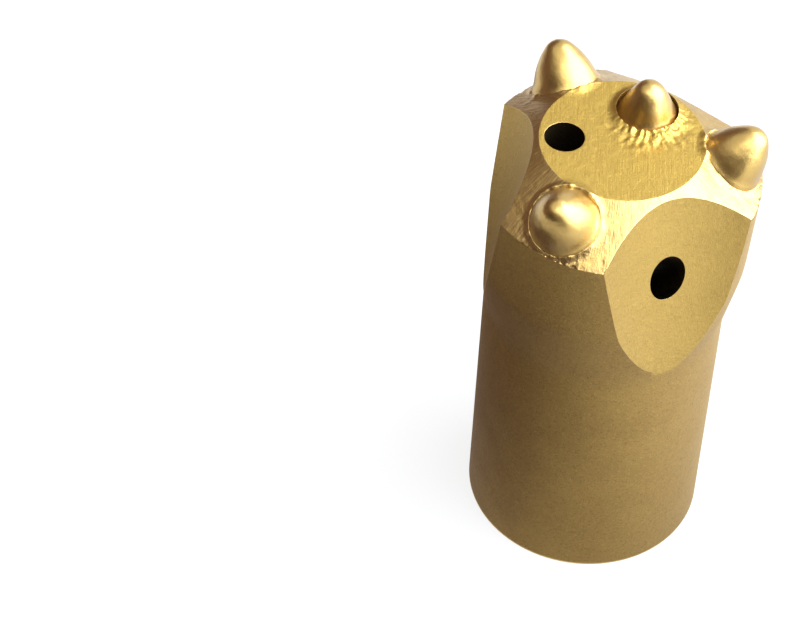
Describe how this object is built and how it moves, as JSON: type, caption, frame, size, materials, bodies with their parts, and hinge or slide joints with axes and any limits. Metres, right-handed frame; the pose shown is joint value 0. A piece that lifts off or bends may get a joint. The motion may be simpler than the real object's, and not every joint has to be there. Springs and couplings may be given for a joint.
{
  "type": "button drill bit",
  "caption": "Tapered button drill bit with a flat face, bevelled gauge, milled flutes, flushing holes, pressed carbide buttons and a taper socket for the drill rod.",
  "frame": {"origin": "centre of the open end of the skirt, where the drill rod's taper goes in", "axes": "+Z along the bit's axis in the drilling direction, +X through gauge button 1"},
  "size_m": [0.0302, 0.0318, 0.0627],
  "materials": {
    "coated_steel": "satin gold coating over blasted steel",
    "coated_carbide": "smooth gold coating over carbide"
  },
  "bodies": {
    "root": {"bit_body": "coated_steel", "gauge_button_1": "coated_carbide", "gauge_button_2": "coated_carbide", "gauge_button_3": "coated_carbide", "front_button": "coated_carbide"}
  },
  "joints": []
}
